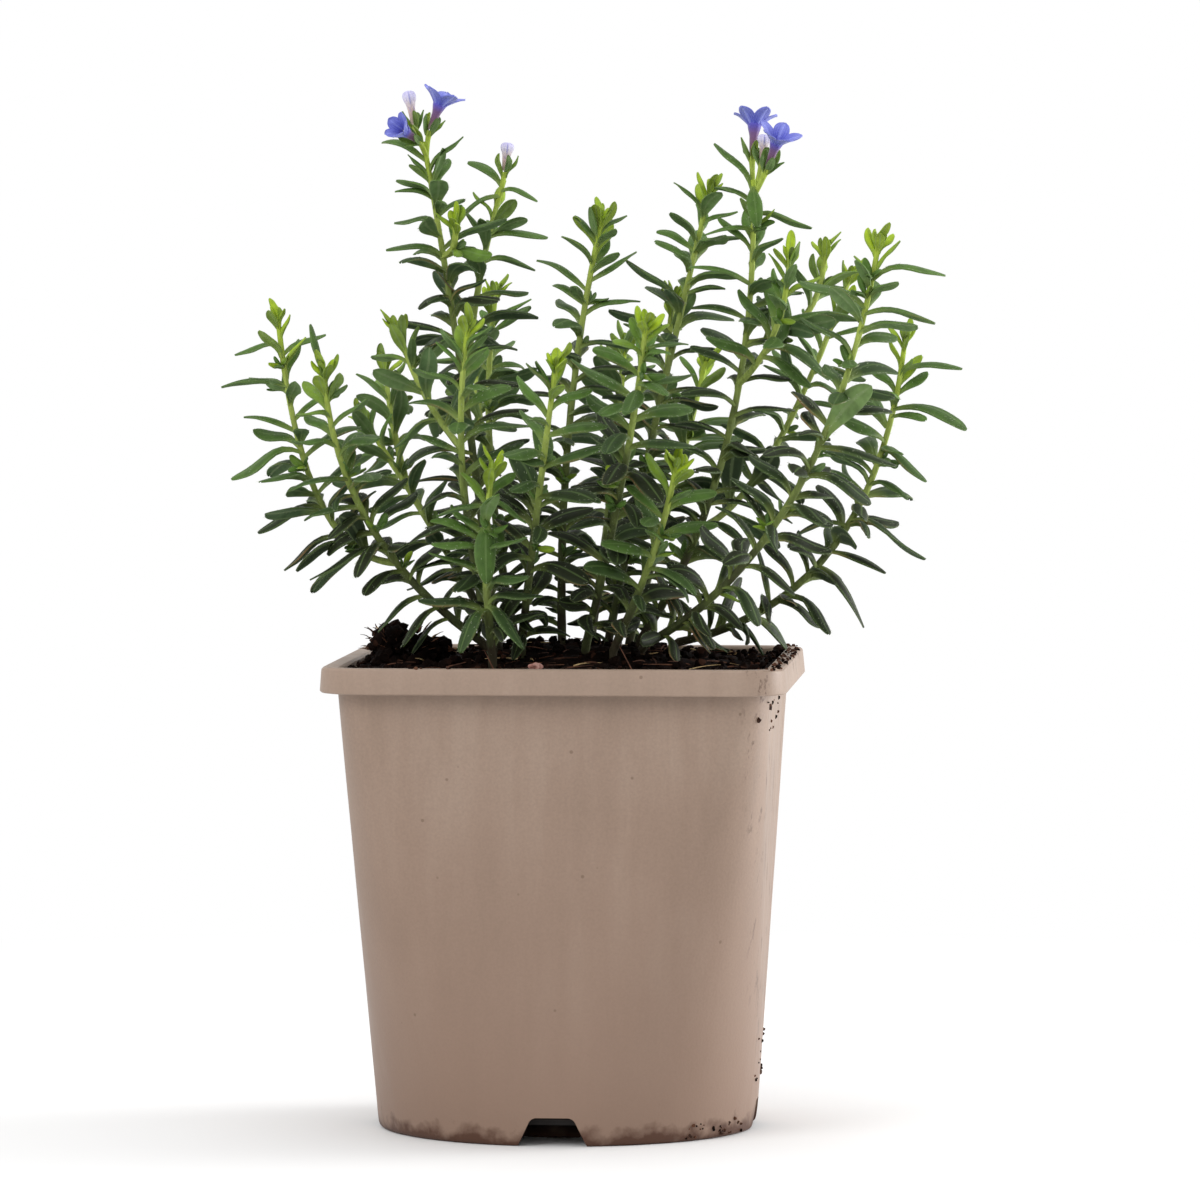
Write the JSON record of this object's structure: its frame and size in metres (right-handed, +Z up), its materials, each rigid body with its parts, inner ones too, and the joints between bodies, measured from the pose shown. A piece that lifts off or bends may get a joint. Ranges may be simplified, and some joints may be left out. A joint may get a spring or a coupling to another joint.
{
  "type": "potted lithodora",
  "caption": "Small spreading evergreen with narrow arching leaves and blue trumpet flowers, growing in soil in a square-rimmed plastic nursery pot.",
  "frame": {"origin": "middle of the pot's underside, on the pot's axis", "axes": "+Z up along the pot's axis, +X to the right and -Y towards the viewer in the picture"},
  "size_m": [0.183, 0.1262, 0.2581],
  "materials": {
    "pot": "fine grained matte taupe",
    "soil": "damp fibrous peat",
    "bark": "dry pinkish bark",
    "leaf": "matte hairy leaf",
    "petal": "satin petal",
    "bud": "matte bud"
  },
  "bodies": {
    "root": {"pot": "pot", "soil": "soil", "bark_chip": "bark", "leafy_stem_left_low": "leaf", "leafy_stem_left_back": "leaf", "leafy_stem_left_flowering": "leaf", "leafy_stem_left_front": "leaf", "leafy_stem_middle_left": "leaf", "leafy_stem_front_low": "leaf", "leafy_stem_front_middle": "leaf", "leafy_stem_middle_tall": "leaf", "leafy_stem_front_bright": "leaf", "leafy_stem_middle_right": "leaf", "leafy_stem_back_middle": "leaf", "leafy_stem_back_right": "leaf", "leafy_stem_right_flowering": "leaf", "leafy_stem_right_outer": "leaf", "leafy_stem_right_low": "leaf", "leafy_stem_front_right": "leaf", "flower_left_open": "petal", "flower_left_half_open": "petal", "flower_right_upper": "petal", "flower_right_lower": "petal", "bud_left": "bud", "bud_middle": "bud", "bud_right": "bud"}
  },
  "joints": []
}
